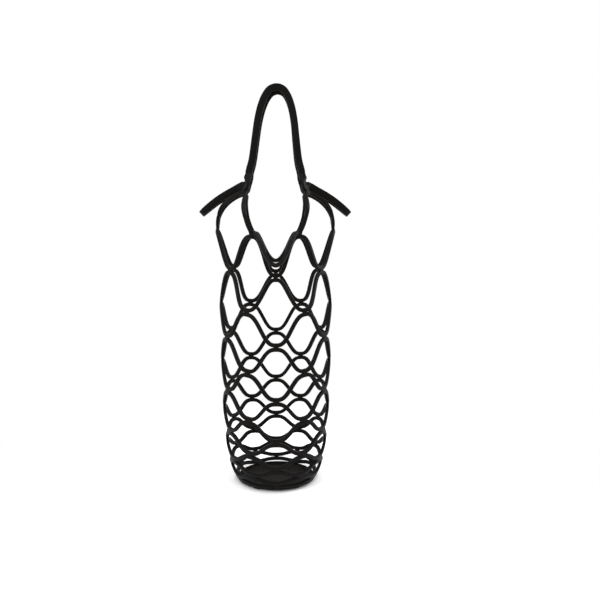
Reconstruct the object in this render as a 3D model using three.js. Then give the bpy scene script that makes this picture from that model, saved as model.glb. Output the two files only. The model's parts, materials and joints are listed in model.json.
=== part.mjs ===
import * as THREE from 'three';

// A one-bottle net carrier cut from a single rubber sheet, pulled up out of its flat disc.
// Millimetres, +Z up, -Y is the front. The floor is z = 0 under the middle of the base.

// The flat sheet
const sheet = 3;            // thickness
const discRadius = 98;      // outside edge
const baseRadius = 38.8;    // uncut middle that the bottle stands on
const bandWidth = 6.7;      // outer band: handles and ears
const slit = 0.4;           // width of each cut
const ringCount = 13;       // straps between the base and the outer band

// The pulled-up net
const bagRadius = 54;       // widest radius the net opens to
const firstRow = 3;         // height of the first slit row
const lastDraw = 0.95;      // the last ring's arms bow out, so they span this share of their length
const bow = 3;              // how far: the power that their radius grows with
const bowSkew = 0.65;
const sideLift = 4.5;         // sides stand this much higher than front and back
const mouthRadii = [47, 47.3, 34];  // mean radius of the last three rows, upwards
const mouthOval = [4, 8.7, 0];      // sides out, front and back in, by this much
const baseFlat = 35.5;      // radius of the part of the base that touches the floor
const slackDepth = 38;      // reach of the free loops of the last ring
const slackDrop = 50;       // degrees that they hang below level
const slackWiden = 4.5;

// Pads, handles and ears
const padLength = 9;
const gap = 0.3;            // between neighbours that are one sheet on the product
const rootRise = 15;        // pad middle to handle hinge
const rootHalfWidth = 24.6; // handle hinge line: half the distance between its legs
const rootDepth = 15;
const handleRise = 80;      // hinge to top of the loop's middle line
const handleStagger = 2.4;  // the back loop tops out this much lower
const apexDepth = 3.2;      // each loop's middle line, from the middle plane
const handleLean = 1.4;     // the loops' tops lean right by this
const backLean = 1.2;       // and the back one by this more
// The handle's side: share of its rise, half width there
const handleSides = [[0.13, 22], [0.4, 19.2], [0.62, 17], [0.79, 14], [0.9, 10.5], [0.975, 6]];
const earRaise = 1.2;       // the ear's root, over the middle of the pad
const earReach = 39.5;      // pad end to ear tip, outwards
const earDrop = 25;         // pad end to ear tip, downwards
const earSag = 0.45;        // share of the drop that curves down towards the tip
const earHalfWidth = 9.5;   // half the ear loop's width

const armSteps = 4;
const pitch = (discRadius - bandWidth - baseRadius) / ringCount;
const rowCount = ringCount + 1;
const arm = Math.PI / 6;    // each arm spans a twelfth of a turn

const rubber = () => new THREE.MeshStandardMaterial({ color: 0x17130f, roughness: 0.55, metalness: 0 });
const V = (x, y, z) => new THREE.Vector3(x, y, z);
const mix = (a, b, t) => a + (b - a) * t;
const turn = (v, ang) => v.clone().applyAxisAngle(V(0, 0, 1), ang);

// Rows are the slit circles. Radius and height of each one in the pulled-up net.
const rows = [];
for (let k = 1; k <= rowCount; k++) {
  const flat = baseRadius + pitch * (k - 1);
  const fromTop = rowCount - k;
  const r = fromTop < mouthRadii.length
    ? mouthRadii[mouthRadii.length - 1 - fromTop]
    : Math.pow(Math.pow(flat, -6) + Math.pow(bagRadius, -6), -1 / 6);
  const oval = fromTop < mouthOval.length ? mouthOval[mouthOval.length - 1 - fromTop] : 0;
  let z = firstRow;
  if (k > 1) {
    const low = rows[k - 2];
    const armLength = arm * (flat - pitch / 2) * (k === rowCount ? lastDraw : 1);
    const run2 = r * r + low.r * low.r - 2 * r * low.r * Math.cos(arm);
    z = low.z + Math.sqrt(Math.max(armLength * armLength - run2, 4));
  }
  rows.push({ r, z, oval, phase: fromTop % 2 === 0 ? 0 : arm });
}
rows.forEach((row, i) => {
  const a = rows[Math.max(i - 1, 0)], b = rows[Math.min(i + 1, rows.length - 1)];
  row.up = new THREE.Vector2(b.r - a.r, b.z - a.z).normalize();
});
const top = rows[rowCount - 1];

// A point, its surface normal and the direction up the net, at angle phi from the front
function netFrame(r, z, oval, up, phi) {
  const side = -Math.cos(2 * phi);
  const radius = r + oval * side;
  const height = z + sideLift * side * z / (z + 30);
  const out = V(Math.sin(phi), -Math.cos(phi), 0);
  const p = out.clone().multiplyScalar(radius).setZ(height);
  const w = out.clone().multiplyScalar(up.x).setZ(up.y);
  const n = out.clone().multiplyScalar(up.y).setZ(-up.x);
  return { p, w, n };
}

// Sweep of a rectangle. Each station has a middle p, a width direction w, a normal n
// and half sizes a (along w) and b (along n).
function sweep(stations, closed) {
  const pos = [], idx = [];
  for (const s of stations) {
    for (const [u, v] of [[1, 1], [-1, 1], [-1, -1], [1, -1]]) {
      const q = s.p.clone().addScaledVector(s.w, u * s.a).addScaledVector(s.n, v * s.b);
      pos.push(q.x, q.y, q.z);
    }
  }
  const n = stations.length;
  for (let i = 0; i < (closed ? n : n - 1); i++) {
    const j = (i + 1) % n;
    for (let c = 0; c < 4; c++) {
      const d = (c + 1) % 4;
      idx.push(i * 4 + c, j * 4 + c, j * 4 + d, i * 4 + c, j * 4 + d, i * 4 + d);
    }
  }
  if (!closed) {
    const e = (n - 1) * 4;
    idx.push(0, 1, 2, 0, 2, 3, e, e + 2, e + 1, e, e + 3, e + 2);
  }
  const geo = new THREE.BufferGeometry();
  geo.setAttribute('position', new THREE.Float32BufferAttribute(pos, 3));
  geo.setIndex(volume(pos, idx) < 0 ? idx.reverse() : idx);
  geo.computeVertexNormals();
  return geo;
}

function volume(pos, idx) {
  const at = i => V(pos[3 * i], pos[3 * i + 1], pos[3 * i + 2]);
  let sum = 0;
  for (let i = 0; i < idx.length; i += 3) sum += at(idx[i]).dot(at(idx[i + 1]).cross(at(idx[i + 2])));
  return sum;
}

// Squares the width and normal directions to the path, except where keep is set
function square(stations, closed) {
  const n = stations.length;
  stations.forEach((s, i) => {
    if (s.keep) return;
    const a = stations[closed ? (i + n - 1) % n : Math.max(i - 1, 0)].p;
    const b = stations[closed ? (i + 1) % n : Math.min(i + 1, n - 1)].p;
    const t = b.clone().sub(a).normalize();
    s.w = s.w.clone().addScaledVector(t, -s.w.dot(t)).normalize();
    s.n = t.cross(s.w).normalize();
  });
  return stations;
}

// Ring k joins the row below it and the row above it, twelve arms in all
function ringStations(k) {
  const low = rows[k - 1], high = rows[k];
  const list = [];
  for (let i = 0; i < 12; i++) {
    const rise = i % 2 === 0;
    const phi0 = low.phase + i * arm;
    const freeTop = k === ringCount && isFree(rise ? phi0 + arm : phi0);
    if (freeTop) {
      if (rise) list.push(...slackLoop(low, phi0));
      continue;
    }
    for (let j = 0; j < armSteps; j++) {
      const t = j / armSteps;
      const station = strapStation(low, high, armShare(rise ? t : 1 - t, k), phi0 + arm * t);
      list.push({ ...station, keep: j === 0 });
    }
  }
  return list;
}

// How far up an arm is at a share t of its turn from its low end
function armShare(t, k) {
  const skewed = k === ringCount ? Math.pow(t, bowSkew) : t;
  return skewed - Math.sin(2 * Math.PI * skewed) / (2 * Math.PI);
}

function strapStation(low, high, s, phi) {
  const up = low.up.clone().lerp(high.up, s).normalize();
  const edge = pitch / 2 * (1 - 2 * s);
  const b = high === top ? Math.pow(s, bow) : s;
  const f = netFrame(mix(low.r, high.r, b), mix(low.z, high.z, s), mix(low.oval, high.oval, b), up, phi);
  f.p.addScaledVector(f.w, edge);
  return { ...f, a: (pitch - slit) / 2, b: sheet / 2 };
}

// The last ring isn't joined upwards at the front and back
function isFree(phi) {
  return Math.abs(Math.sin(phi)) < 0.1;
}

// Free part of the last ring: a loop that hangs out over the net
function slackLoop(low, phi0) {
  const ends = [phi0, phi0 + 2 * arm].map(phi => strapStation(low, top, 0, phi));
  const along = ends[1].p.clone().sub(ends[0].p);
  const half = along.length() / 2;
  along.normalize();
  const drop = slackDrop * Math.PI / 180;
  const out = turn(V(0, -1, 0), phi0 + arm);
  const level = out.clone().multiplyScalar(Math.sin(drop)).setZ(Math.cos(drop));
  const steps = 12, list = [{ ...ends[0], keep: true }];
  for (let i = 1; i < steps; i++) {
    const u = i / steps, bell = Math.sin(Math.PI * u) ** 2;
    const x = -half * (1 - 2 * u) - slackWiden * Math.sin(2 * Math.PI * u);
    const p = ends[0].p.clone().add(ends[1].p).multiplyScalar(0.5).addScaledVector(along, x);
    p.addScaledVector(out, slackDepth * Math.cos(drop) * bell);
    p.z -= slackDepth * Math.sin(drop) * bell * bell;
    const w = (u < 0.5 ? ends[0].w : ends[1].w).clone().lerp(level, Math.min(1, bell * 1.3)).normalize();
    list.push({ p, w, a: (pitch - slit) / 2, b: sheet / 2 });
  }
  return list;
}

function baseDisc() {
  const row = rows[0];
  const rim = new THREE.Vector2(row.r, row.z).addScaledVector(row.up, -slit / 2 - 0.08);
  const n = new THREE.Vector2(row.up.y, -row.up.x).multiplyScalar(sheet / 2);
  const lower = rim.clone().add(n), upper = rim.clone().sub(n);
  const inner = baseFlat - (lower.x - upper.x) * 0.5;
  const profile = [[0, 0], [baseFlat, 0], [lower.x, lower.y], [upper.x, upper.y], [inner, sheet], [0, sheet]];
  return new THREE.LatheGeometry(profile.map(([x, y]) => new THREE.Vector2(x, y)), 48).rotateX(Math.PI / 2);
}

// Pad: the stretch of the band over a top node, with the root of a handle's leg.
// Built at the front right, then mirrored, and so are the handle's leg and the ear.
const padMid = strapStation(rows[rowCount - 2], top, 1, Math.PI / 3);
padMid.p.addScaledVector(padMid.w, pitch / 2 + slit / 2 + bandWidth / 2);
const band = { a: bandWidth / 2, b: sheet / 2 };
const hinge = V(rootHalfWidth, -rootDepth, padMid.p.z + rootRise);
const earRoot = V(padMid.p.x + padLength * 0.27, padMid.p.y + padLength * 0.45, padMid.p.z + earRaise);

function padGeometry() {
  const { p, w } = padMid;
  const n = padMid.n.clone().negate();
  const t = n.clone().cross(w).negate();
  const at = (along, up) => p.clone().addScaledVector(t, along).addScaledVector(w, up);
  const legStart = at(padLength * 0.22, band.a + 0.5);
  const legEnd = hinge.clone().setZ(hinge.z - band.b - gap);
  const leg = f => ({
    p: legStart.clone().lerp(legEnd, f),
    w: t.clone().negate().lerp(V(1, 0, 0), f).normalize(),
    ...band
  });
  const stations = [
    { p: earRoot.clone().add(V(0, -gap, 0)), w: V(0, 0, 1), n: V(-1, 0, 0), ...band, keep: true },
    { p: at(-padLength * 0.24, 0), w, n, ...band, keep: true },
    {
      p: at(padLength * 0.22, 0), w: w.clone().sub(t).normalize(), n,
      a: band.a * Math.SQRT2, b: band.b, keep: true
    },
    { ...leg(0), n, keep: true },
    leg(0.35), leg(0.7),
    { ...leg(1), w: V(1, 0, 0), n: V(0, 1, 0), keep: true }
  ];
  return sweep(square(stations, false), false);
}

// Handle: a loop from hinge to hinge. Each foot is rounded about the hinge line.
function handleGeometry(rise, lean) {
  const right = [hinge.clone()];
  for (const [f, x] of [...handleSides, [1, 0]]) {
    right.push(V(x, -mix(rootDepth, apexDepth, f), hinge.z + rise * f));
  }
  const left = right.slice(0, -1).reverse().map(q => V(-q.x, q.y, q.z));
  const loop = [...right, ...left];
  for (const q of loop) q.x += lean * Math.pow((q.z - hinge.z) / rise, 1.5);
  const curve = new THREE.CatmullRomCurve3(loop, false, 'centripetal');
  const steps = 26, stations = [];
  for (let i = 0; i <= steps; i++) {
    const t = curve.getTangentAt(i / steps);
    stations.push({ p: curve.getPointAt(i / steps), w: V(0, 1, 0).cross(t).normalize(), ...band });
  }
  const foot = (x, flip) => [80, 50, 25].map(deg => ({
    p: V(x, hinge.y, hinge.z - band.b * Math.sin(deg * Math.PI / 180)),
    w: V(flip, 0, 0), n: V(0, 1, 0), a: band.a,
    b: band.b * Math.cos(deg * Math.PI / 180), keep: true
  }));
  Object.assign(stations[0], { w: V(1, 0, 0), n: V(0, 1, 0), keep: true });
  Object.assign(stations[steps], { w: V(-1, 0, 0), n: V(0, 1, 0), keep: true });
  const all = [...foot(hinge.x, 1), ...square(stations, false), ...foot(-hinge.x, -1).reverse()];
  return sweep(all, false);
}

function droop(f) {
  return (1 - earSag) * f + earSag * f * f;
}

// Ear: a hairpin on edge, from the front pad out to the tip and home to the back pad
function earGeometry() {
  const tipX = earRoot.x + earReach;
  const y0 = earRoot.y;
  const shape = [[0.045, 0.86], [0.14, 0.77], [0.34, 0.7], [0.62, 0.62], [0.85, 0.46], [0.965, 0.24]];
  const half = [V(earRoot.x, y0, earRoot.z)];
  for (const [f, width] of shape) {
    const y = y0 * width * (earHalfWidth / 9.5);
    half.push(V(earRoot.x + earReach * f, y, earRoot.z - earDrop * droop(f)));
  }
  const tip = V(tipX, 0, earRoot.z - earDrop);
  const back = half.slice().reverse().map(q => V(q.x, -q.y, q.z));
  const curve = new THREE.CatmullRomCurve3([...half, tip, ...back], false, 'centripetal');
  const steps = 24, stations = [];
  for (let i = 0; i <= steps; i++) {
    const p = curve.getPointAt(i / steps);
    const f = (p.x - earRoot.x) / earReach;
    const level = V(earDrop * (1 + 2 * earSag * f - earSag), 0, earReach).normalize();
    stations.push({ p, w: V(0, 0, 1).lerp(level, Math.min(1, f / 0.3)).normalize(), ...band });
  }
  Object.assign(stations[0], { w: V(0, 0, 1), n: V(1, 0, 0), keep: true });
  Object.assign(stations[steps], { w: V(0, 0, 1), n: V(1, 0, 0), keep: true });
  return sweep(square(stations, false), false);
}

function mirrored(geo, sx, sy) {
  const g = geo.clone();
  g.scale(sx, sy, 1);
  if (sx * sy < 0) g.setIndex(Array.from(g.index.array).reverse());
  g.computeVertexNormals();
  return g;
}

const group = new THREE.Group();
group.name = 'net_carrier';
function add(name, geo) {
  const mesh = new THREE.Mesh(geo, rubber());
  mesh.name = name;
  group.add(mesh);
}

add('base_disc', baseDisc());
for (let k = 1; k <= ringCount; k++) {
  add(`ring_${String(k).padStart(2, '0')}`, sweep(square(ringStations(k), true), true));
}

const pad = padGeometry(), ear = earGeometry();
add('pad_front_right', pad);
add('pad_front_left', mirrored(pad, -1, 1));
add('pad_back_right', mirrored(pad, 1, -1));
add('pad_back_left', mirrored(pad, -1, -1));
add('handle_front', handleGeometry(handleRise, handleLean));
add('handle_back', mirrored(handleGeometry(handleRise - handleStagger, handleLean + backLean), 1, -1));
add('ear_right', ear);
add('ear_left', mirrored(ear, -1, 1));

export default group;
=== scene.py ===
import json
import math
import bpy
import bmesh
import numpy as np
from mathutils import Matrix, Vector

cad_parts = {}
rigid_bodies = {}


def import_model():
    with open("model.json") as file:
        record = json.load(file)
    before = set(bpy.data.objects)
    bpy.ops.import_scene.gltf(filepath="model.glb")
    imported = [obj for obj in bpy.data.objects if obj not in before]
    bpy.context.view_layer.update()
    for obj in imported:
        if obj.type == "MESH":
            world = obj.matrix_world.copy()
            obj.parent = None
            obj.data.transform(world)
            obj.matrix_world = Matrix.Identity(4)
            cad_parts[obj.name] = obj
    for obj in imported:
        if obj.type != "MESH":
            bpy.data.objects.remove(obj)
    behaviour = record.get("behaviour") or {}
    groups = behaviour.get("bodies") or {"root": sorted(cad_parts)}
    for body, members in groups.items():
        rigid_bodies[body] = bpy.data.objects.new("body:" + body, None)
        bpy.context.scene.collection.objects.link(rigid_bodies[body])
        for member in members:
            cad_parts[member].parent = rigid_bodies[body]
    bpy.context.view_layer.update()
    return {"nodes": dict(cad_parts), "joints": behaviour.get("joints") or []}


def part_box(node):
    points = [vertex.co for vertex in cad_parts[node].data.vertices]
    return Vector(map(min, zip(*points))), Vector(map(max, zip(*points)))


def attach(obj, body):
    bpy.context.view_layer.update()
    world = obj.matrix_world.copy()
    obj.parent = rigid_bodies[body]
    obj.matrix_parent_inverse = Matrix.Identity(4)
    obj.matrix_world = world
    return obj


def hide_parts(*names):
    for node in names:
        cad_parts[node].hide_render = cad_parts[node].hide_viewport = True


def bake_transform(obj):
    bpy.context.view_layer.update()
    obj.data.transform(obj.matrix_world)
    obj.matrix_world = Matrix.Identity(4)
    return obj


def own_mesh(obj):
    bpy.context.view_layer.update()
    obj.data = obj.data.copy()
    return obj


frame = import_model()
scene = bpy.context.scene
joints = {joint["name"]: joint for joint in frame["joints"]}

# The cut sheet and the net it opens into, in metres
net = {
    "disc": 0.098, "base": 0.0388,  # radii of the flat disc and of its uncut middle
    "band": 0.0067, "slit": 0.0004, "sheet": 0.003,  # widths of the rim band and a slit, thickness
    "rings": 13, "bag": 0.054, "shoulder": 6, "firstRow": 0.003,  # the bag's radius, and how soon it is reached
    "mouth": [0.047, 0.0473, 0.034],  # radii of the top three rows
    "oval": [0.004, 0.0087, 0.0],  # how far their sides stand out
    "lift": 0.0045, "liftFrom": 0.03,  # side nodes stand higher than front ones, above this height
    "leastRise": 0.002,  # smallest height between two rows
    "lastDraw": 0.95, "bow": 3.0, "bowSkew": 0.65,  # length and curve of the last ring's arms
}
arm = math.pi / 6
pitch = (net["disc"] - net["band"] - net["base"]) / net["rings"]
strap = pitch - net["slit"]
half = net["band"] / 2


def mix(a, b, t):
    return a + (b - a) * t


def unit(v):
    return v / np.linalg.norm(v)


# Rows of nodes, from the base's rim to the pads
def rowTable():
    rows = []
    power = net["shoulder"]
    for k in range(1, net["rings"] + 2):
        flat = net["base"] + pitch * (k - 1)
        fromTop = net["rings"] + 1 - k
        inMouth = fromTop < len(net["mouth"])
        r = net["mouth"][-1 - fromTop] if inMouth else (flat ** -power + net["bag"] ** -power) ** (-1 / power)
        z = net["firstRow"]
        if k > 1:
            low = rows[-1]
            length = arm * (flat - pitch / 2) * (net["lastDraw"] if fromTop == 0 else 1)
            run = r * r + low["r"] ** 2 - 2 * r * low["r"] * math.cos(arm)
            z = low["z"] + math.sqrt(max(length * length - run, net["leastRise"] ** 2))
        rows.append({"r": r, "z": z, "oval": net["oval"][-1 - fromTop] if inMouth else 0.0,
                     "phase": 0.0 if fromTop % 2 == 0 else arm})
    for i, row in enumerate(rows):
        a, b = rows[max(i - 1, 0)], rows[min(i + 1, len(rows) - 1)]
        row["up"] = unit(np.array([b["r"] - a["r"], b["z"] - a["z"]]))
    return rows


rows = rowTable()


# Middle of a strap, the way up the net and the outward normal; s runs from row to row
def strapFrame(low, high, s, phi):
    up = unit(mix(low["up"], high["up"], s))
    side = -math.cos(2 * phi)
    b = s ** net["bow"] if high is rows[-1] else s
    r = mix(low["r"], high["r"], b) + mix(low["oval"], high["oval"], b) * side
    z = mix(low["z"], high["z"], s)
    z += net["lift"] * side * z / (z + net["liftFrom"])
    out = np.array([math.sin(phi), -math.cos(phi), 0.0])
    w = out * up[0] + np.array([0, 0, up[1]])
    n = out * up[1] - np.array([0, 0, up[0]])
    p = out * r + np.array([0, 0, z]) + w * (pitch / 2 * (1 - 2 * s))
    return p, w, n


# How far up an arm is at a share t of its turn; the last ring's arms are steeper low down
def armShare(t, last=False):
    t = t ** net["bowSkew"] if last else t
    return t - math.sin(2 * math.pi * t) / (2 * math.pi)


# Adds a node; each link gives an input a socket or a value
def addNode(tree, kind, links=(), **values):
    made = tree.nodes.new(kind)
    for key, value in values.items():
        setattr(made, key, value)
    for socket, source in links:
        if isinstance(source, bpy.types.NodeSocket):
            tree.links.new(source, made.inputs[socket])
        else:
            made.inputs[socket].default_value = source
    return made


# Clears the nodes of a material or a world and gives a function that adds new ones
def nodeMaker(owner):
    owner.use_nodes = True
    owner.node_tree.nodes.clear()
    return lambda kind, links=(), **values: addNode(owner.node_tree, kind, links, **values)


rubberLook = {
    "clouds": 38.0, "grain": 1400.0, "scuffs": 420.0,  # scales of the three noises
    "wornFrom": 0.51, "wornTo": 0.60, "wornPale": 2.6,  # convex edges painted paler: partly painted highlight, partly scuff wear
    "duller": 0.10, "glossier": 0.07, "scuffFrom": 0.3, "scuffTo": 0.75,
    "bump": 0.55, "grainShare": 0.6, "ior": 1.5, "shine": 0.07,
}


# Black rubber: faint clouds of tone, convex edges painted paler as a painted highlight mixed with scuff wear,
# scuffs and a fine grain
def rubber(name, dark, pale, rough, depth):
    mat = bpy.data.materials.new(name)
    node = nodeMaker(mat)
    look = rubberLook
    place = node("ShaderNodeTexCoord").outputs["Object"]
    clouds = node("ShaderNodeTexNoise", [("Vector", place), ("Scale", look["clouds"]), ("Detail", 3.0)])
    fine = node("ShaderNodeTexNoise", [("Vector", place), ("Scale", look["grain"]), ("Detail", 2.0)])
    scuffs = node("ShaderNodeTexNoise", [("Vector", place), ("Scale", look["scuffs"]), ("Detail", 5.0),
                                         ("Roughness", 0.7)])
    edge = node("ShaderNodeNewGeometry").outputs["Pointiness"]
    # Painted highlight: convex edges (pointiness) are lightened in the base colour, masked by scuff noise so
    # that it also reads as wear
    edgeWearAndHighlight = node("ShaderNodeMapRange", [("Value", edge), ("From Min", look["wornFrom"]),
                                       ("From Max", look["wornTo"])])
    tone = node("ShaderNodeMix", [("Factor", clouds.outputs["Fac"]), (6, (*dark, 1)), (7, (*pale, 1))],
                data_type="RGBA")
    scuffedWearAndHighlight = node("ShaderNodeMath", [(0, edgeWearAndHighlight.outputs["Result"]), (1, scuffs.outputs["Fac"])],
                operation="MULTIPLY")
    wearAndHighlightColour = (*(c * look["wornPale"] for c in pale), 1)
    toneWithWearAndHighlight = node("ShaderNodeMix", [("Factor", scuffedWearAndHighlight.outputs[0]), (6, tone.outputs[2]), (7, wearAndHighlightColour)],
                 data_type="RGBA")
    gloss = node("ShaderNodeMapRange", [
        ("Value", scuffs.outputs["Fac"]), ("From Min", look["scuffFrom"]), ("From Max", look["scuffTo"]),
        ("To Min", rough - look["glossier"]), ("To Max", rough + look["duller"])])
    both = node("ShaderNodeMath", [(0, fine.outputs["Fac"]), (1, look["grainShare"]),
                                   (2, scuffs.outputs["Fac"])],
                operation="MULTIPLY_ADD")
    bump = node("ShaderNodeBump", [("Height", both.outputs[0]), ("Strength", look["bump"]),
                                   ("Distance", depth)])
    skin = node("ShaderNodeBsdfPrincipled", [
        ("Base Color", toneWithWearAndHighlight.outputs[2]), ("Roughness", gloss.outputs["Result"]),
        ("Normal", bump.outputs["Normal"]), ("IOR", look["ior"]), ("Specular IOR Level", look["shine"])])
    node("ShaderNodeOutputMaterial", [(0, skin.outputs[0])])
    return mat


strapRubber = rubber("strapRubber", (0.0018, 0.0015, 0.0013), (0.0042, 0.0034, 0.0029), 0.46, 0.00010)
bandRubber = rubber("bandRubber", (0.0016, 0.0013, 0.0012), (0.0038, 0.0031, 0.0027), 0.43, 0.00008)
baseRubber = rubber("baseRubber", (0.0022, 0.0018, 0.0015), (0.0052, 0.0042, 0.0035), 0.50, 0.00012)
for cadNode in frame["nodes"].values():
    for matSlot in cadNode.material_slots:
        matSlot.material = strapRubber
print("rubber mixed")


def meshObject(name, verts, faces, mat):
    mesh = bpy.data.meshes.new(name)
    mesh.from_pydata([tuple(map(float, v)) for v in verts], [], faces)
    bm = bmesh.new()
    bm.from_mesh(mesh)
    bmesh.ops.recalc_face_normals(bm, faces=bm.faces)
    if bm.calc_volume(signed=True) < 0:
        bmesh.ops.reverse_faces(bm, faces=bm.faces)
    bm.to_mesh(mesh)
    bm.free()
    mesh.materials.append(mat)
    mesh.shade_smooth()
    obj = bpy.data.objects.new(name, mesh)
    scene.collection.objects.link(obj)
    return obj


def joinTo(main, others):
    bpy.ops.object.select_all(action="DESELECT")
    for o in [main, *others]:
        o.select_set(True)
    bpy.context.view_layer.objects.active = main
    bpy.ops.object.join()
    return main


# Rounded rectangle: half sizes a and b, corner radius
def roundedSection(a, b, corner, steps=4):
    outline = []
    for sideA, sideB, start in [(1, 1, 0), (-1, 1, 1), (-1, -1, 2), (1, -1, 3)]:
        for i in range(steps + 1):
            angle = (start + i / steps) * math.pi / 2
            outline.append((sideA * (a - corner) + corner * math.cos(angle),
                            sideB * (b - corner) + corner * math.sin(angle)))
    return outline


# Open sweep of a rounded rectangle through stations (point, width way, normal, half width)
def sweepBand(stations, thick, corner):
    verts, faces = [], []
    for p, w, n, a in stations:
        for u, v in roundedSection(a, thick / 2, corner):
            verts.append(p + w * u + n * v)
    count = len(roundedSection(1, 1, 0.1))
    for i in range(len(stations) - 1):
        for c in range(count):
            d = (c + 1) % count
            faces.append((i * count + c, i * count + d, (i + 1) * count + d, (i + 1) * count + c))
    faces.append(tuple(range(count)))
    faces.append(tuple(range(len(verts) - count, len(verts))))
    return verts, faces


# Centripetal spline through points, sampled evenly along its length
def spline(points, samples, perSpan=40):
    pts = [np.array(p, float) for p in points]
    pts = [2 * pts[0] - pts[1], *pts, 2 * pts[-1] - pts[-2]]
    dense = []
    for p0, p1, p2, p3 in zip(pts, pts[1:], pts[2:], pts[3:]):
        t = [0.0]
        for a, b in ((p0, p1), (p1, p2), (p2, p3)):
            t.append(t[-1] + max(np.linalg.norm(b - a), 1e-9) ** 0.5)
        for x in np.linspace(t[1], t[2], perSpan, endpoint=False):
            a1 = mix(p0, p1, (x - t[0]) / (t[1] - t[0]))
            a2 = mix(p1, p2, (x - t[1]) / (t[2] - t[1]))
            a3 = mix(p2, p3, (x - t[2]) / (t[3] - t[2]))
            b1 = mix(a1, a2, (x - t[0]) / (t[2] - t[0]))
            b2 = mix(a2, a3, (x - t[1]) / (t[3] - t[1]))
            dense.append(mix(b1, b2, (x - t[1]) / (t[2] - t[1])))
    dense = np.array([*dense, pts[-2]])
    run = np.concatenate([[0], np.cumsum(np.linalg.norm(np.diff(dense, axis=0), axis=1))])
    at = np.linspace(0, run[-1], samples)
    return np.stack([np.interp(at, run, column) for column in dense.T], axis=1)


# Short names for the nodes that a Geometry Nodes tree is written with
class Tree:
    def __init__(self, name, sockets):
        self.tree = bpy.data.node_groups.new(name, "GeometryNodeTree")
        self.tree.interface.new_socket("Geometry", in_out="OUTPUT", socket_type="NodeSocketGeometry")
        self.ids = {}
        for label, kind in sockets:
            made = self.tree.interface.new_socket(label, in_out="INPUT", socket_type=kind)
            self.ids[label] = made.identifier
        self.given = self.tree.nodes.new("NodeGroupInput").outputs

    def add(self, kind, links=(), **values):
        return addNode(self.tree, kind, links, **values)

    def math(self, operation, *values):
        return self.add("ShaderNodeMath", list(enumerate(values)), operation=operation).outputs[0]

    def vector(self, operation, *values):
        return self.add("ShaderNodeVectorMath", list(enumerate(values)), operation=operation).outputs["Vector"]

    def scaled(self, v, s):
        made = self.add("ShaderNodeVectorMath", [("Vector", v), ("Scale", s)], operation="SCALE")
        return made.outputs["Vector"]

    def xyz(self, x, y, z):
        return self.add("ShaderNodeCombineXYZ", [(0, x), (1, y), (2, z)]).outputs[0]

    def between(self, a, b, t):
        return self.math("ADD", a, self.math("MULTIPLY", self.math("SUBTRACT", b, a), t))


ringLook = {"armSteps": 26, "corner": 0.00055, "cornerSteps": 4, "thinner": 0.00002,
            "wobble": 0.00022, "wobbleScale": 24.0, "firstSeed": 3.0}
# The last ring's loose front and back
slack = {"depth": 0.038, "drop": math.radians(50), "widen": 0.0045, "turnBy": 1.3}


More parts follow.
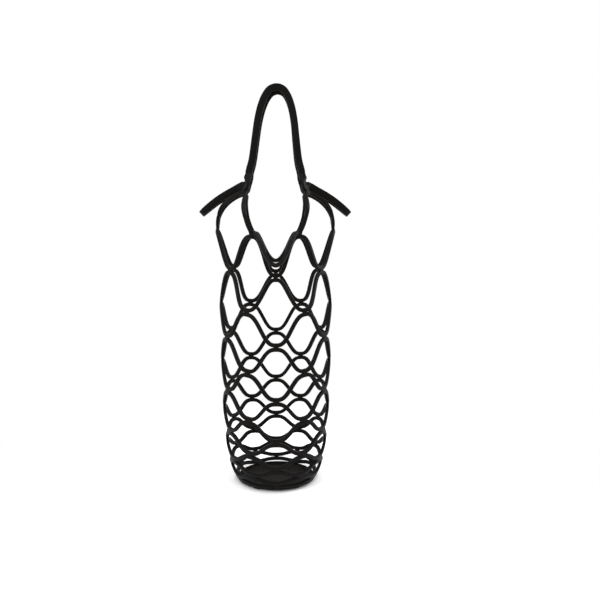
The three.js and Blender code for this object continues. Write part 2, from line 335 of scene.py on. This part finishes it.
# A circle bent by the net's rule and swept with a rounded strap
def ringTree():
    floats = ["Phase", "Low radius", "High radius", "Low height", "High height", "Low oval", "High oval",
              "Low lean", "High lean", "Low rise", "High rise", "Lift", "Pitch", "Strap width", "Thickness",
              "Corner", "Bow", "Bow skew", "Slack depth", "Slack drop", "Slack widen", "Wobble", "Seed"]
    t = Tree("slitRing", [(f, "NodeSocketFloat") for f in floats] + [
        ("Arm steps", "NodeSocketInt"), ("Free ends", "NodeSocketBool"), ("Material", "NodeSocketMaterial")])
    g, m = t.given, t.math
    count = m("MULTIPLY", g["Arm steps"], 12.0)
    index = t.add("GeometryNodeInputIndex").outputs[0]
    phi = m("ADD", m("MULTIPLY", m("DIVIDE", index, count), 2 * math.pi), g["Phase"])
    share = m("POWER", m("PINGPONG", m("DIVIDE", index, g["Arm steps"]), 1.0), g["Bow skew"])
    s = m("SUBTRACT", share, m("DIVIDE", m("SINE", m("MULTIPLY", share, 2 * math.pi)), 2 * math.pi))
    side = m("MULTIPLY", m("COSINE", m("MULTIPLY", phi, 2.0)), -1.0)
    out = t.xyz(m("SINE", phi), m("MULTIPLY", m("COSINE", phi), -1.0), 0.0)

    def lifted(z, bySide):
        growth = m("DIVIDE", z, m("ADD", z, net["liftFrom"]))
        return m("ADD", z, m("MULTIPLY", m("MULTIPLY", g["Lift"], bySide), growth))

    # taut strap
    lean = t.between(g["Low lean"], g["High lean"], s)
    rise = t.between(g["Low rise"], g["High rise"], s)
    up = t.vector("NORMALIZE", t.vector("ADD", t.scaled(out, lean), t.xyz(0.0, 0.0, rise)))
    bowed = m("POWER", s, g["Bow"])
    r = m("ADD", t.between(g["Low radius"], g["High radius"], bowed),
          m("MULTIPLY", t.between(g["Low oval"], g["High oval"], bowed), side))
    z = lifted(t.between(g["Low height"], g["High height"], s), side)
    edge = m("MULTIPLY", m("DIVIDE", g["Pitch"], 2.0), m("SUBTRACT", 1.0, m("MULTIPLY", s, 2.0)))
    taut = t.vector("ADD", t.vector("ADD", t.scaled(out, r), t.xyz(0.0, 0.0, z)), t.scaled(up, edge))

    # free loop of the last ring, over the front and the back
    local = m("WRAP", phi, math.pi / 2, -math.pi / 2)
    u = m("DIVIDE", m("ADD", m("DIVIDE", local, arm), 1.0), 2.0)
    bell = m("POWER", m("ABSOLUTE", m("SINE", m("MULTIPLY", u, math.pi))), 2.0)
    facing = m("SIGN", m("COSINE", phi))
    halfPitch = m("DIVIDE", g["Pitch"], 2.0)
    nodeR = m("ADD", m("SUBTRACT", g["Low radius"], m("MULTIPLY", g["Low oval"], 0.5)),
              m("MULTIPLY", g["Low lean"], halfPitch))
    nodeZ = m("ADD", lifted(g["Low height"], -0.5), m("MULTIPLY", g["Low rise"], halfPitch))
    straight = m("MULTIPLY", m("MULTIPLY", nodeR, math.sin(arm)), m("SUBTRACT", m("MULTIPLY", u, 2.0), 1.0))
    x = m("SUBTRACT", straight, m("MULTIPLY", g["Slack widen"], m("SINE", m("MULTIPLY", u, 2 * math.pi))))
    level = m("COSINE", g["Slack drop"])
    fall = m("SINE", g["Slack drop"])
    reach = m("MULTIPLY", m("MULTIPLY", g["Slack depth"], level), bell)
    y = m("ADD", m("MULTIPLY", nodeR, math.cos(arm)), reach)
    down = m("MULTIPLY", m("MULTIPLY", g["Slack depth"], fall), m("MULTIPLY", bell, bell))
    loose = t.xyz(m("MULTIPLY", x, facing), m("MULTIPLY", m("MULTIPLY", y, facing), -1.0),
                  m("SUBTRACT", nodeZ, down))
    endPhi = m("MULTIPLY", m("SIGN", local), arm)
    endUp = t.xyz(m("MULTIPLY", m("MULTIPLY", m("SINE", endPhi), g["Low lean"]), facing),
                  m("MULTIPLY", m("MULTIPLY", m("COSINE", endPhi), g["Low lean"]), m("MULTIPLY", facing, -1.0)),
                  g["Low rise"])
    flatUp = t.xyz(0.0, m("MULTIPLY", m("MULTIPLY", fall, facing), -1.0), level)
    turned = m("MINIMUM", 1.0, m("MULTIPLY", bell, slack["turnBy"]))
    looseUp = t.vector("NORMALIZE", t.vector(
        "ADD", t.scaled(endUp, m("SUBTRACT", 1.0, turned)), t.scaled(flatUp, turned)))

    between = m("LESS_THAN", m("ABSOLUTE", local), arm - 1e-4)
    isFree = t.add("FunctionNodeBooleanMath", [(0, g["Free ends"]), (1, between)], operation="AND").outputs[0]
    place = t.add("GeometryNodeSwitch", [("Switch", isFree), ("False", taut), ("True", loose)],
                  input_type="VECTOR").outputs[0]
    upward = t.add("GeometryNodeSwitch", [("Switch", isFree), ("False", up), ("True", looseUp)],
                   input_type="VECTOR").outputs[0]

    # slight unevenness
    noise = t.add("ShaderNodeTexNoise", [("Vector", taut), ("W", g["Seed"]), ("Scale", ringLook["wobbleScale"]),
                                         ("Detail", 1.0)], noise_dimensions="4D").outputs["Color"]
    uneven = t.scaled(t.vector("SUBTRACT", noise, (0.5, 0.5, 0.5)), g["Wobble"])

    ring = t.add("GeometryNodeCurvePrimitiveCircle", [("Resolution", m("ROUND", count)), ("Radius", 0.05)])
    kept = t.add("GeometryNodeStoreNamedAttribute",
                 [("Geometry", ring.outputs["Curve"]), ("Name", "upward"), ("Value", upward)],
                 data_type="FLOAT_VECTOR", domain="POINT")
    bent = t.add("GeometryNodeSetPosition", [("Geometry", kept.outputs[0]),
                                             ("Position", t.vector("ADD", place, uneven))])
    readUp = t.add("GeometryNodeInputNamedAttribute", [("Name", "upward")], data_type="FLOAT_VECTOR")
    tangent = t.add("GeometryNodeInputTangent").outputs[0]
    normal = t.vector("NORMALIZE", t.vector("CROSS_PRODUCT", tangent, readUp.outputs["Attribute"]))
    faced = t.add("GeometryNodeSetCurveNormal", [("Curve", bent.outputs[0]), ("Normal", normal)], mode="FREE")
    outline = t.add("GeometryNodeCurvePrimitiveQuadrilateral", [("Width", g["Thickness"]),
                                                                ("Height", g["Strap width"])])
    softened = t.add("GeometryNodeFilletCurve", [("Curve", outline.outputs[0]), ("Radius", g["Corner"]),
                                                 ("Count", ringLook["cornerSteps"])], mode="POLY")
    solid = t.add("GeometryNodeCurveToMesh", [("Curve", faced.outputs[0]),
                                              ("Profile Curve", softened.outputs[0])])
    shaded = t.add("GeometryNodeSetShadeSmooth", [("Geometry", solid.outputs[0])])
    real = t.add("GeometryNodeRealizeInstances", [("Geometry", shaded.outputs[0])])
    coloured = t.add("GeometryNodeSetMaterial", [("Geometry", real.outputs[0]), ("Material", g["Material"])])
    t.tree.links.new(coloured.outputs[0], t.tree.nodes.new("NodeGroupOutput").inputs[0])
    return t


# Runs a tree with the given values and keeps its result as a plain mesh
def fromTree(name, made, values):
    holder = bpy.data.objects.new(name, bpy.data.meshes.new(name))
    scene.collection.objects.link(holder)
    mod = holder.modifiers.new("nodes", "NODES")
    mod.node_group = made.tree
    for label, value in values.items():
        mod[made.ids[label]] = value
    depsgraph = bpy.context.evaluated_depsgraph_get()
    mesh = bpy.data.meshes.new_from_object(holder.evaluated_get(depsgraph))
    holder.modifiers.remove(mod)
    holder.data = mesh
    return holder


slitRing = ringTree()

# Web of uncut rubber between two edges; its ends are the rounded ends of the slits
webLook = {"half": 0.0030, "waist": 0.72, "thick": 0.00285, "across": 8, "up": 8, "intoBase": 0.0012,
           "intoPad": 0.0014}


def webMesh(lower, upper, phi0, radius):
    verts, faces = [], []
    nx, ny = webLook["across"], webLook["up"]
    for face in (1, -1):
        for j in range(ny + 1):
            v = j / ny
            reach = webLook["half"] * (webLook["waist"] + (1 - webLook["waist"]) * (2 * v - 1) ** 2)
            for i in range(nx + 1):
                phi = phi0 + (2 * i / nx - 1) * reach / radius
                (pa, na), (pb, nb) = lower(phi), upper(phi)
                verts.append(mix(pa, pb, v) + unit(mix(na, nb, v)) * face * webLook["thick"] / 2)
    layer = (nx + 1) * (ny + 1)
    for j in range(ny):
        for i in range(nx):
            a = j * (nx + 1) + i
            quad = (a, a + 1, a + nx + 2, a + nx + 1)
            faces.append(quad)
            faces.append(tuple(layer + q for q in reversed(quad)))
    rim = list(range(nx + 1)) + [(j + 1) * (nx + 1) - 1 for j in range(1, ny + 1)]
    rim += [ny * (nx + 1) + i for i in range(nx - 1, -1, -1)] + [j * (nx + 1) for j in range(ny - 1, 0, -1)]
    for a, b in zip(rim, rim[1:] + rim[:1]):
        faces.append((b, a, layer + a, layer + b))
    return verts, faces


# Middle and normal of a strap beside one of its nodes
def strapBy(low, high, atLow, nodePhi):
    def point(phi):
        t = min(abs(phi - nodePhi) / arm, 1.0)
        s = armShare(t if atLow else 1 - t, high is rows[-1])
        return strapFrame(low, high, s, phi)[::2]
    return point


# The same where the strap keeps level, as beside the last ring's slack loops
def levelStrap(low, high):
    return lambda phi: strapFrame(low, high, 0.0, phi)[::2]


def baseRim(phi):
    p, w, n = strapFrame(rows[0], rows[1], 0.0, phi)
    return p - w * (pitch / 2 + net["slit"] / 2 + webLook["intoBase"]), n


for k in range(1, net["rings"] + 1):
    low, high = rows[k - 1], rows[k]
    last = k == net["rings"]
    ring = fromTree(f"strapRing{k:02d}", slitRing, {
        "Phase": low["phase"], "Low radius": low["r"], "High radius": high["r"],
        "Low height": low["z"], "High height": high["z"],
        "Low oval": low["oval"], "High oval": high["oval"],
        "Low lean": float(low["up"][0]), "High lean": float(high["up"][0]),
        "Low rise": float(low["up"][1]), "High rise": float(high["up"][1]),
        "Lift": net["lift"], "Pitch": pitch, "Strap width": strap,
        "Thickness": net["sheet"] - ringLook["thinner"],
        "Bow": net["bow"] if last else 1.0, "Bow skew": net["bowSkew"] if last else 1.0,
        "Corner": ringLook["corner"], "Slack depth": slack["depth"], "Slack drop": slack["drop"],
        "Slack widen": slack["widen"], "Wobble": ringLook["wobble"], "Seed": ringLook["firstSeed"] + k,
        "Arm steps": ringLook["armSteps"], "Free ends": last, "Material": strapRubber})
    webs = []
    for i in range(6):
        phi0 = low["phase"] + i * 2 * arm
        upper = levelStrap(low, high) if last else strapBy(low, high, True, phi0)
        lower = baseRim if k == 1 else strapBy(rows[k - 2], low, False, phi0)
        verts, faces = webMesh(lower, upper, phi0, low["r"])
        webs.append(meshObject(f"web{k}_{i}", verts, faces, strapRubber))
    joinTo(ring, webs)
    cadLow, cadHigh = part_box(f"ring_{k:02d}")
    mine = np.array([v.co for v in ring.data.vertices])
    print("ring", k, len(ring.data.polygons), "off the box by mm",
          np.round((np.concatenate([mine.min(0) - cadLow, mine.max(0) - cadHigh])) * 1000, 2))
    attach(ring, "net")
    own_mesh(ring)
    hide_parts(f"ring_{k:02d}")
print("rings made")

# The uncut middle of the sheet, turned from a rounded profile
baseLook = {"flat": 0.0355, "steps": 144, "corner": 0.0006, "dish": 0.00025, "thinner": 0.00002,
            "dishAt": 0.012, "footFrom": 0.026, "topFrom": 0.02, "rimGap": 0.00009}


def basePiece():
    row = rows[0]
    rim = np.array([row["r"], row["z"]]) - row["up"] * (net["slit"] / 2 + baseLook["rimGap"])
    across = np.array([row["up"][1], -row["up"][0]]) * net["sheet"] / 2
    lower, upper = rim + across, rim - across
    inner = baseLook["flat"] - (lower[0] - upper[0]) * 0.5
    corners = [(baseLook["flat"], 0.0), tuple(lower), tuple(upper), (inner, net["sheet"])]
    c = baseLook["corner"]
    foot = (baseLook["footFrom"], 0.0)
    profile = [(0.0, baseLook["dish"]), (baseLook["dishAt"], baseLook["dish"] * 0.7), foot]
    chain = [foot, *corners, (baseLook["topFrom"], net["sheet"])]
    for a, b, d in zip(chain, chain[1:], chain[2:]):
        a, b, d = map(np.array, (a, b, d))
        start, end = b + unit(a - b) * c, b + unit(d - b) * c
        for t in (0, 0.25, 0.5, 0.75, 1):
            profile.append(tuple(mix(mix(start, b, t), mix(b, end, t), t)))
    topFace = net["sheet"] - baseLook["thinner"]
    profile += [(baseLook["topFrom"], topFace), (0.0, topFace)]
    verts, faces = [], []
    n = baseLook["steps"]
    for r, z in profile:
        if r == 0.0:
            verts.append((0, 0, z))
        else:
            turns = [2 * math.pi * i / n for i in range(n)]
            verts += [(r * math.sin(turn), -r * math.cos(turn), z) for turn in turns]

    def start(j):
        return 1 + (j - 1) * n

    for i in range(n):
        k = (i + 1) % n
        faces.append((0, 1 + i, 1 + k))
        for j in range(1, len(profile) - 2):
            faces.append((start(j) + i, start(j) + k, start(j + 1) + k, start(j + 1) + i))
        end = start(len(profile) - 2)
        faces.append((end + i, end + k, len(verts) - 1))
    return meshObject("base", verts, faces, baseRubber)


base = basePiece()
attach(base, "net")
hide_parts("base_disc")
print("base made")

# Pads: the band over each top node, with the roots of a handle leg and an ear
top, under = rows[-1], rows[-2]
padP, padW, padN = strapFrame(under, top, 1.0, 2 * arm)
padP = padP + padW * (pitch / 2 + net["slit"] / 2 + half)
foldFront, foldEar = joints["handle_front_fold"], joints["ear_right_fold"]
hingeY, hingeZ = -abs(foldFront["pos_m"][1]), foldFront["pos_m"][2]
earX, earZ = foldEar["pos_m"][0], foldEar["pos_m"][2]
padLook = {
    "corner": 0.0006, "voxel": 0.00032, "melt": 6, "steps": 34, "hingeX": 0.0246,
    "legShift": 0.00198, "backShift": 0.00216, "legLift": 0.0005,  # the leg's and the ear's roots along the pad
    "legIn": 0.0016, "earIn": 0.0003, "earY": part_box("ear_right")[1].y, "round": 0.0009,
    "flare": 0.0009, "fillet": [(-0.0042, 0.0018), (-0.0028, 0.0036)], "filletOut": 0.0009,  # corner to the ear
    "legRows": [(0, 0.54, 0.2), (0.45, 0.77, 0.6)],  # leg shares of the outer edge, inner edge and normal
    "normalShare": 0.002,  # keeps the spline spaced by the band's edges, not by its normals
}
axisX, axisY, axisZ = np.eye(3)
padOut = -padN
bandHalf = half - 0.00003  # loops and ears are a hair narrower than the pads
padAlong = -np.cross(padOut, padW)


def padPoint(along, up):
    return padP + padAlong * along + padW * up


legStart = padPoint(padLook["legShift"], half + padLook["legLift"])
legEnd = np.array([padLook["hingeX"], hingeY, hingeZ - padLook["legIn"]])


def mirror(p, sx, sy):
    return np.array([p[0] * sx, p[1] * sy, p[2]])


# Edges and normal of the band at a share f of the leg's root
def legEdges(f):
    way = unit(legEnd - legStart)
    w = unit(mix(-padAlong, axisX, f))
    w = unit(w - way * (w @ way))
    p = mix(legStart, legEnd, f)
    return p - w * half, p + w * half, np.cross(way, w)


# The band runs from the ear, over the node and up into the leg: its outer and inner edge and its normal
def padPiece(name, sx, sy):
    shift, back, rounding = padLook["legShift"], padLook["backShift"], padLook["round"]
    ear = np.array([earX, -padLook["earY"] - padLook["earIn"], earZ])
    (along1, up1), (along2, up2) = padLook["fillet"]
    (outer1, inner1, turn1), (outer2, inner2, turn2) = padLook["legRows"]
    rowsOfBand = [
        (ear - axisZ * half, ear + axisZ * (half + padLook["flare"]), -axisX),
        (padPoint(-back, -half), padPoint(along1, half + up1), padOut),
        (padPoint(shift + half - rounding, rounding - half), padPoint(along2, half + up2), padOut),
        (legEdges(outer1)[0], legEdges(inner1)[1] - padAlong * padLook["filletOut"], legEdges(turn1)[2]),
        (legEdges(outer2)[0], legEdges(inner2)[1], legEdges(turn2)[2]),
        legEdges(1),
    ]
    joined = [np.concatenate([outer, inner, n * padLook["normalShare"]]) for outer, inner, n in rowsOfBand]
    table = spline(joined, padLook["steps"])
    stations = []
    for outer, inner, n in (np.split(row, 3) for row in table):
        w = unit(inner - outer)
        n = unit(n - w * (n @ w))
        stations.append(((outer + inner) / 2, w, n, np.linalg.norm(inner - outer) / 2))
    verts, faces = sweepBand(stations, net["sheet"], padLook["corner"])
    pad = meshObject(name, [mirror(v, sx, sy) for v in verts], faces, bandRubber)
    remesh = pad.modifiers.new("melt", "REMESH")
    remesh.mode, remesh.voxel_size = "VOXEL", padLook["voxel"]
    soften = pad.modifiers.new("soften", "SMOOTH")
    soften.factor, soften.iterations = 0.5, padLook["melt"]
    mesh = bpy.data.meshes.new_from_object(pad.evaluated_get(bpy.context.evaluated_depsgraph_get()))
    pad.modifiers.clear()
    pad.data = mesh
    mesh.shade_smooth()

    # web down to the last ring, just under the pad
    def padEdge(phi):
        p, w, n = strapFrame(under, top, 1.0, phi)
        return p + w * (pitch / 2 + net["slit"] / 2 + webLook["intoPad"]), n

    verts, faces = webMesh(strapBy(under, top, False, 2 * arm), padEdge, 2 * arm, top["r"])
    web = meshObject(name + "Web", [mirror(v, sx, sy) for v in verts], faces, bandRubber)
    return joinTo(pad, [web])


for side, sx in (("Right", 1), ("Left", -1)):
    for end, sy in (("Front", 1), ("Back", -1)):
        pad = padPiece(f"pad{end}{side}", sx, sy)
        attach(pad, "crown")
        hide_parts(f"pad_{end.lower()}_{side.lower()}")
print("pads made")

# Handles: flat band loops from leg to leg; sides are shares of the rise and half widths of the loop
handleLook = {
    "sides": [(0.13, 0.022), (0.4, 0.0192), (0.62, 0.017), (0.79, 0.014), (0.9, 0.0105), (0.975, 0.006)],
    "rise": 0.0799, "stagger": 0.0024, "apexY": 0.0032, "lean": 0.0014, "backLean": 0.0012, "leanPower": 1.5,
    "steps": 150, "corner": 0.00075, "sunk": (0.62, 0.82), "thinner": 0.00005,
    "sway": 0.00035, "swayRate": 6.5, "twist": 0.05, "twistRate": 250, "seeds": {"front": 1.3, "back": 3.1},
}


def handlePiece(name, sy, rise, lean, seed):
    right = [*(mix(legStart, legEnd, f) for f in handleLook["sunk"]), (padLook["hingeX"], hingeY, hingeZ)]
    for f, across in [*handleLook["sides"], (1, 0.0)]:
        right.append((across, mix(hingeY, -handleLook["apexY"], f), hingeZ + rise * f))
    left = [(-px, py, pz) for px, py, pz in reversed(right[:-1])]
    loop = []
    for px, py, pz in right + left:
        loop.append((px + lean * max(0, (pz - hingeZ) / rise) ** handleLook["leanPower"], py, pz))
    path = spline(loop, handleLook["steps"])
    stations = []
    for i, p in enumerate(path):
        t = unit(path[min(i + 1, len(path) - 1)] - path[max(i - 1, 0)])
        share = max(0.0, min(1.0, (p[2] - hingeZ) / rise))
        swing = handleLook["sway"] * math.sin(handleLook["swayRate"] * share + seed) * share * (1 - share) * 4
        twist = handleLook["twist"] * math.sin(handleLook["twistRate"] * p[0] + seed) * share
        w = unit(np.cross(unit(np.array([0, 1, twist])), t))
        stations.append((p + axisY * swing, w, np.cross(t, w), bandHalf))
    verts, faces = sweepBand(stations, net["sheet"] - handleLook["thinner"], handleLook["corner"])
    return meshObject(name, [mirror(v, 1, sy) for v in verts], faces, bandRubber)


for end, sy, rise, lean in (
        ("front", 1, handleLook["rise"], handleLook["lean"]),
        ("back", -1, handleLook["rise"] - handleLook["stagger"], handleLook["lean"] + handleLook["backLean"])):
    handle = handlePiece(f"handle{end.capitalize()}", sy, rise, lean, handleLook["seeds"][end])
    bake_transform(handle)
    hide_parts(f"handle_{end}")
print("handles made")

# Ears: hairpins of the same band, on edge; shape gives shares of the reach and of the width at the root
earLook = {
    "reach": 0.0395, "drop": 0.025, "sag": 0.45, "steps": 120, "corner": 0.00075, "sink": 0.0011,
    "shape": [(0.045, 0.86), (0.14, 0.77), (0.34, 0.70), (0.62, 0.62), (0.85, 0.46), (0.965, 0.24)],
    "flareRun": 0.011, "uprightShare": 0.3, "thinner": 0.00005,
}


def earPiece(name, sx):
    y0 = padLook["earY"]
    halfPath = [(earX, -y0 - earLook["sink"], earZ), (earX, -y0, earZ)]
    for f, wide in earLook["shape"]:
        fall = (1 - earLook["sag"]) * f + earLook["sag"] * f * f
        halfPath.append((earX + earLook["reach"] * f, -y0 * wide, earZ - earLook["drop"] * fall))
    tip = (earX + earLook["reach"], 0.0, earZ - earLook["drop"])
    otherHalf = [(px, -py, pz) for px, py, pz in reversed(halfPath)]
    path = spline([*halfPath, tip, *otherHalf], earLook["steps"])
    stations = []
    for i, p in enumerate(path):
        t = unit(path[min(i + 1, len(path) - 1)] - path[max(i - 1, 0)])
        f = (p[0] - earX) / earLook["reach"]
        slope = earLook["drop"] * (1 + 2 * earLook["sag"] * f - earLook["sag"])
        square = unit(np.array([slope, 0, earLook["reach"]]))
        w = mix(axisZ, square, min(1.0, max(0.0, f / earLook["uprightShare"])))
        w = unit(w - t * (w @ t))
        root = max(0.0, 1 - max(0.0, p[0] - earX) / earLook["flareRun"])
        raised = padLook["flare"] / 2 * root * root * (3 - 2 * root)
        stations.append((p + w * raised, w, np.cross(t, w), bandHalf + raised))
    verts, faces = sweepBand(stations, net["sheet"] - earLook["thinner"], earLook["corner"])
    return meshObject(name, [mirror(v, sx, 1) for v in verts], faces, bandRubber)


for side, sx in (("right", 1), ("left", -1)):
    ear = earPiece(f"ear{side.capitalize()}", sx)
    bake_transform(ear)
    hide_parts(f"ear_{side}")
print("ears made")

# Floor, soft light and camera; the floor glows white away from the net's shadow
studio = {
    "floorSize": 12, "floorZ": -0.0002, "floorWhite": 0.95, "glowFrom": 0.12, "glowTo": 0.34,
    "seen": 1.0, "fill": 1.0,
    "lamps": {
        "overhead": {"place": (0.1, -0.25, 1.5), "aim": (0, 0, 0.15), "size": (1.4, 1.2), "power": 11},
        "keyLeft": {"place": (-1.1, -0.9, 0.9), "aim": (0, 0, 0.2), "size": (0.4, 1.1), "power": 11},
        "rimRight": {"place": (1.2, 0.4, 0.7), "aim": (0, 0, 0.2), "size": (0.35, 1.1), "power": 8},
    },
    "camera": {"place": (0, -0.641, 0.239), "aim": (0.0237, 0, 0.1784), "lens": 39.4, "sensor": 36,
               "clip": 0.01},
}


def paperMaterial():
    paper = bpy.data.materials.new("paper")
    node = nodeMaker(paper)
    white = studio["floorWhite"]
    matt = node("ShaderNodeBsdfDiffuse", [("Color", (white, white, white, 1))])
    glow = node("ShaderNodeEmission")
    place = node("ShaderNodeTexCoord").outputs["Object"]
    far = node("ShaderNodeVectorMath", [(0, place)], operation="LENGTH")
    fade = node("ShaderNodeMapRange", [("Value", far.outputs["Value"]), ("From Min", studio["glowFrom"]),
                                       ("From Max", studio["glowTo"])], interpolation_type="SMOOTHSTEP")
    shown = node("ShaderNodeMixShader", [(0, fade.outputs["Result"]), (1, matt.outputs[0]),
                                         (2, glow.outputs[0])])
    node("ShaderNodeOutputMaterial", [(0, shown.outputs[0])])
    return paper


# White to the camera and in reflections; the fill lights the object
def studioWorld():
    world = bpy.data.worlds.new("studio")
    node = nodeMaker(world)
    ray = node("ShaderNodeLightPath").outputs
    seen = node("ShaderNodeBackground", [("Color", (1, 1, 1, 1)), ("Strength", studio["seen"])])
    fill = node("ShaderNodeBackground", [("Color", (0.98, 0.99, 1, 1)), ("Strength", studio["fill"])])
    direct = ray["Is Camera Ray"]
    for kind in ("Is Glossy Ray", "Is Transmission Ray"):
        direct = node("ShaderNodeMath", [(0, direct), (1, ray[kind])], operation="MAXIMUM").outputs[0]
    pick = node("ShaderNodeMixShader", [(0, direct), (1, fill.outputs[0]), (2, seen.outputs[0])])
    node("ShaderNodeOutputWorld", [(0, pick.outputs[0])])
    return world


# Puts a lamp or a camera at a place, turned to what it aims at
def aimed(name, data, place, aim):
    obj = bpy.data.objects.new(name, data)
    scene.collection.objects.link(obj)
    obj.location = place
    obj.rotation_euler = (Vector(aim) - Vector(place)).to_track_quat("-Z", "Y").to_euler()
    return obj


bpy.ops.mesh.primitive_plane_add(size=studio["floorSize"], location=(0, 0, studio["floorZ"]))
floor = bpy.context.active_object
floor.name = "floor"
floor.data.materials.append(paperMaterial())
scene.world = studioWorld()

for name, lamp in studio["lamps"].items():
    light = bpy.data.lights.new(name, "AREA")
    light.shape, light.size, light.size_y = "RECTANGLE", *lamp["size"]
    light.energy = lamp["power"]
    aimed(name, light, lamp["place"], lamp["aim"])

camera = aimed("camera", bpy.data.cameras.new("camera"), studio["camera"]["place"], studio["camera"]["aim"])
camera.data.lens = studio["camera"]["lens"]
camera.data.sensor_width = studio["camera"]["sensor"]
camera.data.clip_start = studio["camera"]["clip"]
scene.camera = camera
scene.view_settings.view_transform = "Standard"
print("studio lit")
